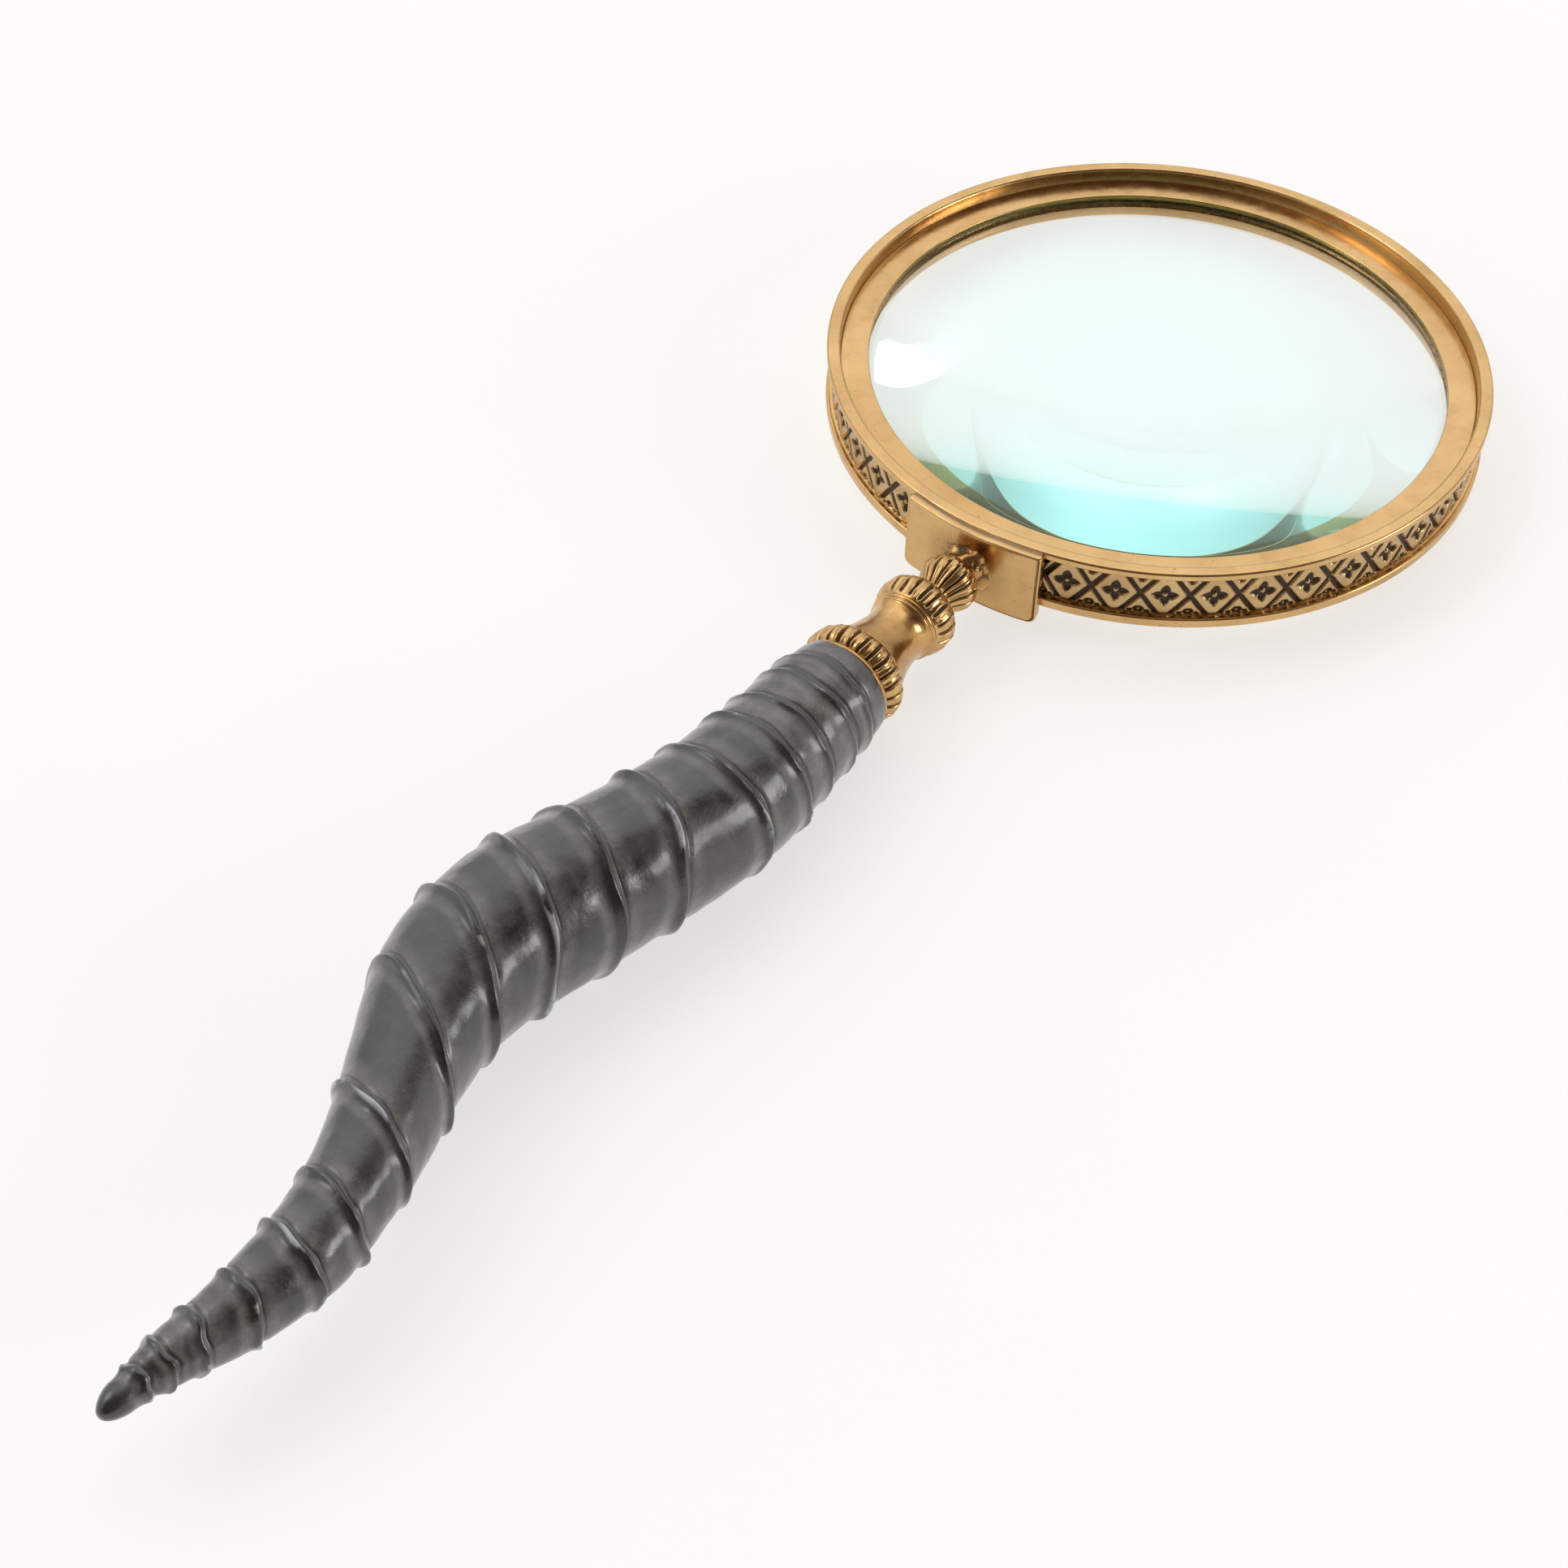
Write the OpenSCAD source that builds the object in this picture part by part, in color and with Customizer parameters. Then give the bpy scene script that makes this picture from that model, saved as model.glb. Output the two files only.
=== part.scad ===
// Hand-held reading lens: a glass lens in a decorated brass ring, a turned brass neck and a horn-shaped handle.
// It is drawn lying on a table (z = 0), handle towards -X, resting on the far edge of its ring and on the
// handle's belly. Everything is first drawn level, with the ring's underside at z = 0 and its centre at
// x = y = 0, and then tipped as one by as_it_lies(). "Station" is a distance from the ring's centre along -X.

/* [Lens] */
// Diameter of the glass
lens_d = 100; // [96:0.5:104]
// Thickness of the glass at its edge
lens_edge_t = 2; // [1.6:0.1:2.4]
// Radius of curvature of both faces of the glass
lens_curve_r = 250; // [240:10:500]

/* [Ring] */
// Outer diameter of the ring at its top lip
ring_d = 110; // [110:0.5:116]
// Height of the ring
ring_h = 11.2; // [11.2:0.1:13]
// Height of the plain rim below the decorated strip
lower_rim_h = 1.9; // [1.5:0.1:2.4]
// Height of the plain rim above the decorated strip
upper_rim_h = 1.3; // [1:0.1:1.8]
// Depth of the strip's face below the lip
strip_recess = 1.1; // [0.8:0.1:1.3]
// Diameter of the clear opening
aperture_d = 96; // [90:0.5:96]
// Depth of the flat land below the top of the lip
land_depth = 2.4; // [2:0.1:2.8]

/* [Saddle plate] */
// Width of the curved plate that joins the neck to the ring
plate_w = 25; // [20:0.5:30]
// Height of that plate
plate_h = 13.5; // [12.5:0.1:14]
// Thickness of that plate
plate_t = 1.7; // [1.4:0.1:2.2]

/* [Neck] */
// Height of the neck's axis above the ring's underside
neck_z = 4.2; // [4:0.1:4.4]
// Diameter of the steel rod through the neck
rod_d = 4; // [3.5:0.1:4]
// Diameter of the small fluted bead
small_bead_d = 9.7; // [9:0.1:10.4]
// Diameter of the large fluted bead
large_bead_d = 13.4; // [12.8:0.1:14]
// Diameter of the waist of the plain barrel
waist_d = 10.1; // [9.8:0.1:10.8]
// Diameter of the ribbed collar
collar_d = 17; // [16.6:0.1:17.6]
// Diameter of the thin flange against the handle
flange_d = 16.4; // [16.2:0.1:16.8]

/* [Handle] */
// Half the number of flats around the handle
horn_half_sides = 12; // [10:1:14]
// Number of steps between two of the handle's stations
horn_steps = 5; // [3:1:6]

/* [Hidden] */
$fn = 96;
clearance = 0.05;

ring_r = ring_d / 2;
lens_r = lens_d / 2;
aperture_r = aperture_d / 2;
rod_r = rod_d / 2;

// Ring section, from the inside out
strip_t = 0.35;
strip_r = ring_r - strip_recess;             // face of the decorated strip
channel_r = strip_r - strip_t;               // floor of the channel that the strip lies in
lip_inner_r = channel_r - 0.8;               // inside of the wall above the retaining ring
bore_r = lens_r + 0.2;                       // room around the glass
edge_round = 0.3;                            // small bevels on the lips
foot_bevel = 0.5;
land_z = ring_h - land_depth;                // top of the retaining ring
lens_sag = lens_curve_r - sqrt(pow(lens_curve_r, 2) - pow(lens_r, 2));
seat_sag = lens_sag - (lens_curve_r - sqrt(pow(lens_curve_r, 2) - pow(aperture_r, 2)));
retainer_t = 0.85;
lens_top_z = land_z - retainer_t - seat_sag; // upper edge of the glass
lens_low_z = lens_top_z - lens_edge_t;       // lower edge of the glass
ledge_z = lens_low_z - seat_sag;             // ledge that the glass sits on

// Saddle plate
plate_inner_r = ring_r + clearance;
plate_outer_r = plate_inner_r + plate_t;
plate_corner_r = 2.5;
plate_half_angle = asin(plate_w / 2 / plate_outer_r);
strip_gap_angle = 8;                         // the strip's two ends stop short of the rod, under the plate

// Stations of the neck, each piece starting where the last one ends
rod_start = bore_r + 0.6;
foot_start = plate_outer_r;
small_bead_start = 58.9;
large_bead_start = 66.5;
barrel_start = 73.5;
collar_start = 84.8;
flange_start = 89.8;
horn_start = 90.6;
rod_end = 128;
rod_bore_r = rod_r + 0.2;
insert_r = 3.6;
insert_len = 14;

// The handle's stations: [distance from the ring's centre, sideways bend, radius over the crests of its ridges]
HORN = [
    [horn_start, 0, 8.4], [93, 0, 9.3], [98, 0, 9.6], [110, -0.3, 10.4], [122, 0.1, 11.2], [134, 2.6, 11.7],
    [144, 5.4, 12.2], [153, 7.7, 12.5], [162, 8.9, 11.9], [172, 8.4, 10.8], [182, 5, 9.5], [192, 0.6, 8.3],
    [203, -3.3, 7.1], [214, -5.2, 6.5], [225, -4.5, 5.3], [234, -2.7, 4.1], [240, -1.9, 3], [243.6, -1.7, 1.7]
];
horn_tip = 244.8;

// A smooth curve through the handle's stations (Catmull-Rom)
function horn_row(i) = HORN[max(0, min(len(HORN) - 1, i))];
function horn_at(i, t) =
    let (a = horn_row(i - 1), b = horn_row(i), c = horn_row(i + 1), d = horn_row(i + 2))
    0.5 * (2 * b + (c - a) * t + (2 * a - 5 * b + 4 * c - d) * t * t + (3 * b - a - 3 * c + d) * t * t * t);
horn_rows = [
    for (i = [0:len(HORN) - 2], k = [0:horn_steps - 1]) horn_at(i, k / horn_steps),
    horn_row(len(HORN) - 1)
];

// The handle and the far edge of the ring touch the table: the tip angle is the largest that any station of
// the handle asks for
foot_r = ring_r - 0.1 - foot_bevel;
function station_tilt(h) =
    let (reach = foot_r + h[0], slant = sqrt(pow(reach, 2) + pow(neck_z, 2)))
    asin(h[2] / slant) - atan(neck_z / reach);
lie_tilt = max([for (h = horn_rows) station_tilt(h)]);
lie_z = foot_r * sin(lie_tilt);
lie_max_x = ring_r * cos(lie_tilt) + (ring_h - edge_round) * sin(lie_tilt);
lie_min_x = -horn_tip * cos(lie_tilt) + neck_z * sin(lie_tilt);

module as_it_lies() {
    translate([-(lie_max_x + lie_min_x) / 2, 0, lie_z])
        rotate([0, lie_tilt, 0])
            children();
}

// Turns a profile drawn as [radius, station] about the neck's axis
module turned_on_neck() {
    translate([0, 0, neck_z])
        rotate([0, -90, 0])
            rotate_extrude()
                children();
}

// A bead's profile: an arc from wide_end out to the widest point, a second arc back in through taper_angle,
// and a straight taper to a narrower neck at narrow_end
module bead_profile(wide_end, wide_r, r, narrow_end, narrow_r, belly_r, taper_r, taper_angle) {
    towards_neck = sign(narrow_end - wide_end);
    belly_angle = acos(1 - (r - wide_r) / belly_r);
    widest = wide_end + towards_neck * belly_r * sin(belly_angle);
    steps = 12;
    polygon([
        [rod_bore_r, wide_end],
        for (k = [steps:-1:0])
            let (a = belly_angle * k / steps)
            [r - belly_r * (1 - cos(a)), widest - towards_neck * belly_r * sin(a)],
        for (k = [1:steps])
            let (a = taper_angle * k / steps)
            [r - taper_r * (1 - cos(a)), widest + towards_neck * taper_r * sin(a)],
        [narrow_r, narrow_end], [rod_bore_r, narrow_end]
    ]);
}

module radial_hole(r, from, to) {
    translate([-from, 0, neck_z])
        rotate([0, -90, 0])
            cylinder(r = r, h = to - from);
}

module bezel_ring() {
    color("#B5853F")
        as_it_lies()
            difference() {
                rotate_extrude()
                    polygon([
                        [aperture_r, foot_bevel], [aperture_r + foot_bevel, 0],
                        [foot_r, 0], [ring_r - 0.1, foot_bevel],
                        [ring_r - 0.1, lower_rim_h - edge_round], [ring_r - 0.4, lower_rim_h],
                        [channel_r, lower_rim_h], [channel_r, ring_h - upper_rim_h],
                        [ring_r - edge_round, ring_h - upper_rim_h], [ring_r, ring_h - upper_rim_h + edge_round],
                        [ring_r, ring_h - edge_round], [ring_r - edge_round, ring_h],
                        [lip_inner_r + edge_round, ring_h], [lip_inner_r, ring_h - edge_round],
                        [lip_inner_r, lens_top_z], [bore_r, lens_top_z], [bore_r, ledge_z], [aperture_r, ledge_z]
                    ]);
                radial_hole(rod_r, rod_start - 0.2, ring_r + 1);
            }
}

module gallery_strip() {
    color("#8F6A33")
        as_it_lies()
            rotate([0, 0, 180 + strip_gap_angle / 2])
                rotate_extrude(angle = 360 - strip_gap_angle)
                    translate([channel_r, lower_rim_h])
                        square([strip_t, ring_h - upper_rim_h - lower_rim_h]);
}

module retaining_ring() {
    color("#BE8E48")
        as_it_lies()
            rotate_extrude()
                polygon([
                    [aperture_r, land_z - retainer_t], [bore_r, land_z - retainer_t], [bore_r, lens_top_z],
                    [lip_inner_r - clearance, lens_top_z], [lip_inner_r - clearance, land_z], [aperture_r, land_z]
                ]);
}

module lens() {
    color("#BFEFEA", 0.5)
        as_it_lies()
            rotate_extrude()
                intersection() {
                    translate([0, lens_top_z + lens_sag - lens_curve_r])
                        circle(lens_curve_r, $fn = 360);
                    translate([0, lens_low_z - lens_sag + lens_curve_r])
                        circle(lens_curve_r, $fn = 360);
                    translate([0, -ring_h])
                        square([lens_r, 3 * ring_h]);
                }
}

module saddle_plate() {
    plate_low_z = ring_h - plate_h;
    color("#B9853C")
        as_it_lies()
            difference() {
                rotate([0, 0, 180 - plate_half_angle])
                    rotate_extrude(angle = 2 * plate_half_angle)
                        translate([plate_inner_r, plate_low_z])
                            square([plate_t, plate_h]);
                radial_hole(rod_bore_r, ring_r - 2, plate_outer_r + 2);
                for (side = [-1, 1])
                    translate([-ring_r, side * plate_w / 2, plate_low_z])
                        plate_corner_cut(side);
            }
}

// What is cut away to round one lower corner of the saddle plate
module plate_corner_cut(side) {
    rotate([0, 90, 0])
        translate([0, 0, -4])
            linear_extrude(8)
                difference() {
                    translate([-plate_corner_r, side < 0 ? -1 : -plate_corner_r])
                        square([plate_corner_r + 1, plate_corner_r + 1]);
                    translate([-plate_corner_r, -side * plate_corner_r])
                        circle(plate_corner_r);
                }
}

module neck_foot() {
    root_r = 4.4;
    stem_r = 3.3;
    color("#B07E3A")
        as_it_lies()
            difference() {
                turned_on_neck()
                    polygon([[rod_bore_r, foot_start - 1], [root_r, foot_start - 1], [root_r, foot_start + 0.4],
                             [stem_r, small_bead_start], [rod_bore_r, small_bead_start]]);
                cylinder(r = plate_outer_r, h = 4 * ring_h, center = true, $fn = 720);
            }
}

module small_bead() {
    color("#A97A38")
        as_it_lies()
            turned_on_neck()
                bead_profile(small_bead_start, 2.6, small_bead_d / 2, large_bead_start, 2.9, 2.9, 2.9, 40);
}

module large_bead() {
    color("#A97A38")
        as_it_lies()
            turned_on_neck()
                bead_profile(barrel_start, 5.9, large_bead_d / 2, large_bead_start, 3, 6.8, 3.2, 70);
}

// A plain barrel with a hollow waist, and a thin raised lip where it meets the large bead
module neck_barrel() {
    flare_r = 6.9;
    waist = barrel_start + 3;
    waist_r = waist_d / 2;
    rise = flare_r - waist_r;
    run = collar_start - waist;
    hollow_r = (pow(rise, 2) + pow(run, 2)) / (2 * rise);
    lip_r = 0.45;
    color("#B98A45")
        as_it_lies()
            turned_on_neck() {
                difference() {
                    translate([rod_bore_r, barrel_start])
                        square([flare_r - rod_bore_r, collar_start - barrel_start]);
                    translate([waist_r + hollow_r, waist])
                        circle(hollow_r);
                }
                translate([waist_r + 0.3, barrel_start + lip_r])
                    circle(lip_r);
            }
}

module ribbed_collar() {
    belly_r = 2.9;
    color("#A97A38")
        as_it_lies()
            turned_on_neck()
                bead_profile(collar_start, 7.2, collar_d / 2, flange_start, 7, belly_r, belly_r, 55);
}

module end_flange() {
    flange_r = flange_d / 2;
    color("#B5853F")
        as_it_lies()
            turned_on_neck()
                polygon([[rod_bore_r, flange_start], [flange_r - 0.4, flange_start], [flange_r, flange_start + 0.4],
                         [flange_r, horn_start - 0.2], [flange_r - 0.2, horn_start], [rod_bore_r, horn_start]]);
}

// The horn is swept through its stations as rings of points, closed by a flat end and a rounded tip
module horn_body() {
    sides = 2 * horn_half_sides;
    rows = len(horn_rows);
    points = [
        [-horn_start, 0, 0],
        for (h = horn_rows, k = [0:sides - 1])
            [-h[0], h[1] + h[2] * cos(360 * k / sides), h[2] * sin(360 * k / sides)],
        [-horn_tip, horn_rows[rows - 1][1], 0]
    ];
    last = len(points) - 1;
    faces = [
        for (k = [0:sides - 1]) [0, 1 + (k + 1) % sides, 1 + k],
        for (i = [0:rows - 2], k = [0:sides - 1])
            let (a = 1 + i * sides + k, b = 1 + i * sides + (k + 1) % sides)
            each [[a, b, b + sides], [a, b + sides, a + sides]],
        for (k = [0:sides - 1]) [last, last - sides + k, last - sides + (k + 1) % sides]
    ];
    polyhedron(points, faces);
}

module horn_handle() {
    color("#2B2C2E")
        as_it_lies()
            difference() {
                translate([0, 0, neck_z])
                    horn_body();
                radial_hole(insert_r, horn_start - 1, horn_start + insert_len);
                radial_hole(rod_bore_r, horn_start - 1, rod_end + 1);
            }
}

module tie_rod() {
    end_bevel = 0.4;
    color("#8C9196")
        as_it_lies()
            turned_on_neck()
                polygon([[0, rod_start], [rod_r - end_bevel, rod_start], [rod_r, rod_start + end_bevel],
                         [rod_r, rod_end - end_bevel], [rod_r - end_bevel, rod_end], [0, rod_end]]);
}

module handle_insert() {
    rod_thread_r = rod_r + 0.02;
    insert_outer_r = insert_r - clearance;
    color("#C79A4B")
        as_it_lies()
            turned_on_neck()
                translate([rod_thread_r, horn_start])
                    square([insert_outer_r - rod_thread_r, insert_len - clearance]);
}

bezel_ring();
gallery_strip();
retaining_ring();
lens();
saddle_plate();
neck_foot();
small_bead();
large_bead();
neck_barrel();
ribbed_collar();
end_flange();
horn_handle();
tie_rod();
handle_insert();
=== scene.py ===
"""Reading lens in a decorated brass ring with a fluted neck and a dark horn handle, lying on a white table.

Lengths in the modelling code are millimetres in the object's level frame: the ring's underside at z = 0, its
centre at x = y = 0 and the handle towards -X. to_world() puts them where the CAD model lies, in metres.
A "station" is a distance from the ring's centre along the neck, towards the handle's tip.
"""
import math

import bpy
import bmesh
import numpy as np
from mathutils import Matrix, Vector, noise


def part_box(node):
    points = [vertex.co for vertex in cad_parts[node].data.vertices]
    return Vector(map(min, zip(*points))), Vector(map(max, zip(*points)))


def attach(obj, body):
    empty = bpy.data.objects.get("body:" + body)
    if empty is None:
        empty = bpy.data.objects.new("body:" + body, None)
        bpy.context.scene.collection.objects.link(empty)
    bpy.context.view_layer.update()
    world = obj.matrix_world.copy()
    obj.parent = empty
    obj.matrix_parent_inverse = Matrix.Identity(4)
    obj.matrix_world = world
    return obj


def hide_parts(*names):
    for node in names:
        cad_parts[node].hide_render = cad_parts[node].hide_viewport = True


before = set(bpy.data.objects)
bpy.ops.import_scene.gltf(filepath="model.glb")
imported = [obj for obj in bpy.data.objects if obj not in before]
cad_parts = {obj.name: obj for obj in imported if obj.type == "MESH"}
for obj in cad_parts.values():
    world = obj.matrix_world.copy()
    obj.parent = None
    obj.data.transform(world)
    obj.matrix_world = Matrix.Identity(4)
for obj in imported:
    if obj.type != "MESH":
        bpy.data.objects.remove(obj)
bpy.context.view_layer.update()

MM = 0.001
TAU = 2 * math.pi

# ---------------------------------------------------------------------------------------------- dimensions, mm
NECK_Z = 4.2            # height of the neck's axis above the ring's underside
RING_R = 55.0           # outer radius of the top lip
RING_H = 11.2
LOWER_RIM_R = 54.9
LOWER_RIM_H = 1.9
UPPER_RIM_Z = 9.9       # underside of the top lip
STRIP_R = 53.9          # raised faces of the decorated strip
STRIP_DEPTH = 0.55      # depth of its relief
CHANNEL_R = 53.3
LIP_INNER_R = 52.75
LAND_Z = 8.8
APERTURE_R = 48.0
LENS_R = 50.0
LENS_CURVE_R = 250.0
LENS_EDGE_T = 2.0
TILES = 44              # lozenges that would fill the whole ring; one is left out under the saddle plate
PLATE_IN_R = 55.05
PLATE_OUT_R = 56.75
PLATE_W = 25.0
PLATE_H = 13.5
ROD_BORE_R = 2.2

# Stations where the pieces of the neck start
BEAD_1, BEAD_2, BARREL, COLLAR, FLANGE, HORN_START = 58.9, 66.5, 73.5, 84.8, 89.8, 90.6
HORN_TIP = 244.8

# The handle's stations: [station, sideways bend, radius of its surface between the ridges]
HORN = [
    (HORN_START, 0, 8.2), (93, 0, 8.75), (98, 0, 9.2), (110, -0.3, 10.0), (122, 0.1, 10.85), (134, 2.6, 11.3),
    (144, 5.4, 11.8), (153, 7.7, 12.1), (162, 8.9, 11.4), (172, 8.4, 10.4), (182, 5.0, 9.1),
    (192, 0.6, 7.9), (203, -3.3, 6.7), (214, -5.2, 6.1), (225, -4.5, 4.95), (234, -2.6, 3.65),
    (240, -1.9, 2.45), (HORN_TIP, -1.7, 2.05),
]
CAP_START = 241.3       # where the rounding of the handle's tip starts
# The handle's ridges: (station, slant, height). Slant is how much nearer the ring the ridge is on the +Y side.
RIDGES = [
    (95.2, 0.0, 0.30), (99.9, 0.0, 0.35), (106.5, 0.0, 0.45), (112.7, 0.3, 0.60), (122.3, 1.3, 0.70),
    (134.8, 9.2, 0.80), (146.0, 8.8, 0.85), (156.5, 11.0, 0.85), (167.7, 11.1, 0.80), (180.7, 10.3, 0.75),
    (195.6, 4.9, 0.70), (207.0, 2.5, 0.65), (215.3, 2.3, 0.60), (223.9, 3.1, 0.50), (230.7, 3.3, 0.45),
    (235.4, 1.7, 0.40), (238.9, 0.5, 0.30),
]


# ------------------------------------------------------------------------------------ the level frame from CAD
def end_of_rod(side):
    """The middle of one end of the CAD tie rod: side is 1 for the ring's end and -1 for the handle's end."""
    points = np.array([v.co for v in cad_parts["tie_rod"].data.vertices])
    along = points[:, 0] * side
    return Vector(points[along > along.max() - 0.5 * MM].mean(0))


def level_matrix():
    """The matrix from the level frame, in millimetres, to the world, in metres."""
    x_axis = (end_of_rod(1) - end_of_rod(-1)).normalized()
    y_axis = Vector((0, 1, 0))
    z_axis = x_axis.cross(y_axis)
    low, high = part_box("lens")
    lens_centre = (low + high) / 2
    on_axis = (lens_centre - end_of_rod(1)).dot(z_axis)
    origin = lens_centre - z_axis * (on_axis + NECK_Z * MM)
    turn = Matrix((x_axis, y_axis, z_axis)).transposed().to_4x4()
    return Matrix.Translation(origin) @ turn @ Matrix.Scale(MM, 4), on_axis / MM + NECK_Z


LEVEL, LENS_MID_Z = level_matrix()
LEVEL_NP = np.array(LEVEL)


def to_world(points):
    return points @ LEVEL_NP[:3, :3].T + LEVEL_NP[:3, 3]


# ---------------------------------------------------------------------------------------------- mesh helpers
def make_piece(name, points, faces, material, node, values=None):
    """A mesh piece that rides on the one body and stands for a CAD node. values is a number per vertex, which
    the material reads as the attribute "cavity"."""
    mesh = bpy.data.meshes.new(name)
    mesh.from_pydata(to_world(np.asarray(points, float)).tolist(), [], faces)
    mesh.polygons.foreach_set("use_smooth", [True] * len(mesh.polygons))
    if values is not None:
        attribute = mesh.attributes.new("cavity", "FLOAT", "POINT")
        attribute.data.foreach_set("value", np.asarray(values, np.float32).ravel())
    edit = bmesh.new()
    edit.from_mesh(mesh)
    bmesh.ops.recalc_face_normals(edit, faces=edit.faces)
    edit.to_mesh(mesh)
    edit.free()
    mesh.update()
    piece = bpy.data.objects.new(name, mesh)
    bpy.context.scene.collection.objects.link(piece)
    mesh.materials.append(material)
    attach(piece, "root")
    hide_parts(node)
    return piece


def grid_faces(rows, columns, close_rows=False, close_columns=True):
    """Quads over a grid of points numbered row by row."""
    last_row = rows if close_rows else rows - 1
    last_column = columns if close_columns else columns - 1
    i, j = np.meshgrid(np.arange(last_row), np.arange(last_column), indexing="ij")
    i, j = i.ravel(), j.ravel()
    i2, j2 = (i + 1) % rows, (j + 1) % columns
    quads = np.stack([i * columns + j, i * columns + j2, i2 * columns + j2, i2 * columns + j], 1)
    return quads.tolist()


def rounded_outline(corners, steps=5, hold=0.06):
    """A closed outline of (x, y, rounding) corners with each corner turned into an arc. A point hold past each
    end of the arc keeps the smooth shading of the flats flat."""
    outline = []
    count = len(corners)
    for k, (x, y, radius) in enumerate(corners):
        here = Vector((x, y))
        before = Vector(corners[k - 1][:2]) - here
        after = Vector(corners[(k + 1) % count][:2]) - here
        room = 0.45 * min(before.length, after.length)
        before.normalize()
        after.normalize()
        half = before.angle(after) / 2
        cut = min(radius / math.tan(half), room) if radius else 0
        if cut <= 0:
            outline.append(tuple(here))
            continue
        radius = cut * math.tan(half)
        middle = here + (before + after).normalized() * (radius / math.sin(half))
        start = here + before * cut
        end = here + after * cut
        outline.append(tuple(here + before * min(cut + hold, room * 1.05)))
        first, last = start - middle, end - middle
        sweep = first.angle_signed(last)
        for step in range(steps + 1):
            turned = first.copy()
            turned.rotate(Matrix.Rotation(-sweep * step / steps, 2))
            outline.append(tuple(middle + turned))
        outline.append(tuple(here + after * min(cut + hold, room * 1.05)))
    return outline


def ring_points(outline, segments):
    """An outline of (radius, height) points turned about the ring's axis."""
    outline = np.array(outline)
    angle = np.arange(segments) / segments * TAU
    radius, height = outline[:, 0, None], outline[:, 1, None]
    return np.stack([radius * np.cos(angle), radius * np.sin(angle), height + 0 * angle], -1)


def neck_points(outline, segments, shape=None):
    """An outline of (radius, station) points turned about the neck's axis. shape(radius, station, angle) may
    change the radii."""
    outline = np.array(outline)
    angle = np.arange(segments) / segments * TAU
    radius = outline[:, 0, None] + 0 * angle
    station = outline[:, 1, None] + 0 * angle
    if shape:
        radius = shape(radius, station, angle[None, :] + 0 * radius)
    return np.stack([-station, radius * np.sin(angle), NECK_Z + radius * np.cos(angle)], -1)


def closed_piece(name, grid, material, node, values=None):
    """A ring-shaped piece from a grid of points that closes both ways."""
    rows, columns = grid.shape[:2]
    faces = grid_faces(rows, columns, close_rows=True)
    return make_piece(name, grid.reshape(-1, 3), faces, material, node, values)


def wobble(points, size, amount, seed):
    """A smooth random value for each point, for surfaces that were cast and polished by hand."""
    flat = points.reshape(-1, 3)
    offset = Vector((seed * 17.0, seed * 5.0, seed * 11.0))
    values = [noise.noise(Vector(p) / size + offset) for p in flat]
    return amount * np.array(values).reshape(points.shape[:-1])


def smooth_step(x, low, high):
    t = np.clip((x - low) / (high - low), 0, 1)
    return t * t * (3 - 2 * t)


def catmull_rom(rows, count):
    """A smooth curve through the rows: count points, evenly spaced in the first column."""
    rows = np.array(rows, float)
    padded = np.vstack([rows[:1], rows, rows[-1:]])
    dense = []
    for a, b, c, d in zip(padded, padded[1:], padded[2:], padded[3:]):
        for t in np.arange(0, 1, 0.05):
            dense.append(0.5 * (2 * b + (c - a) * t + (2 * a - 5 * b + 4 * c - d) * t ** 2
                                + (3 * b - a - 3 * c + d) * t ** 3))
    dense = np.array(dense + [rows[-1]])
    first = np.linspace(rows[0, 0], rows[-1, 0], count)
    return np.stack([first] + [np.interp(first, dense[:, 0], dense[:, k]) for k in (1, 2)], 1)


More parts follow.
